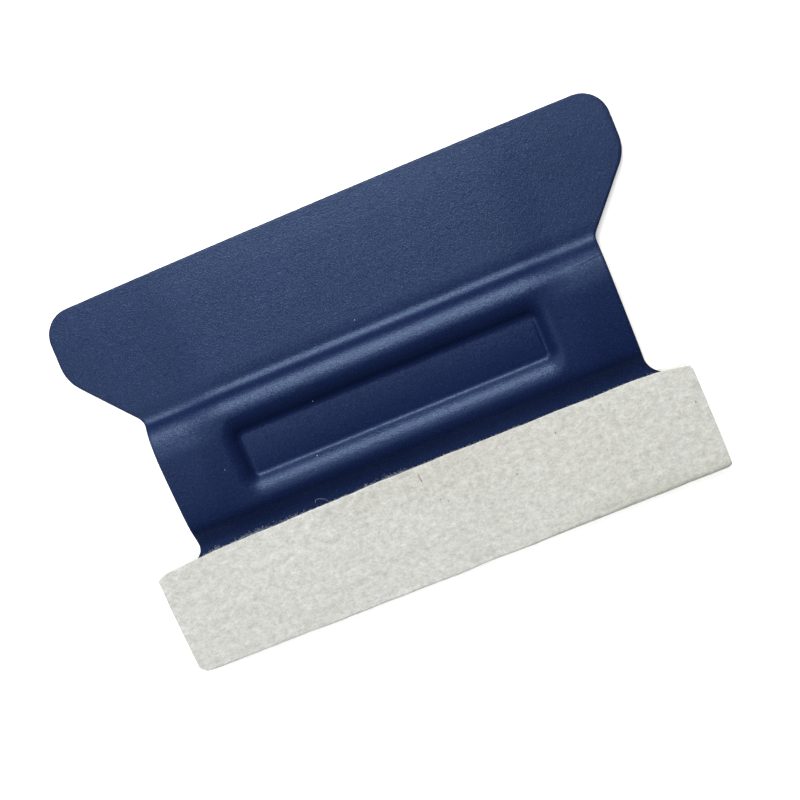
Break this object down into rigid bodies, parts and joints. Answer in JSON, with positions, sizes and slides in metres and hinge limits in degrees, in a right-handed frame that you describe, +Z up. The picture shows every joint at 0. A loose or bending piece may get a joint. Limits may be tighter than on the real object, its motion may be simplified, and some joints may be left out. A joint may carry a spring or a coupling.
{
  "type": "felt-edged hand wiper",
  "caption": "Flat moulded-plastic hand wiper with a broad wing, a humped grip with a long finger recess, and a felt strip folded over its straight wiping edge.",
  "frame": {"origin": "middle of the footprint's box, at the level that the tool rests on: the felt's underside and the underside of the wing's edge", "axes": "+X along the wiping edge, +Y from the felt fold towards the wing's edge, +Z up, away from the wiped surface"},
  "size_m": [0.15, 0.1, 0.0086],
  "materials": {
    "blue_plastic": "navy polypropylene with a fine satin mould grain",
    "pale_felt": "off-white needled felt, slightly mottled, with loose fibres at its cut edges",
    "adhesive": "translucent acrylic double-sided film"
  },
  "bodies": {
    "root": {"blade_moulding": "blue_plastic", "felt_strip": "pale_felt", "adhesive_film": "adhesive"}
  },
  "joints": []
}
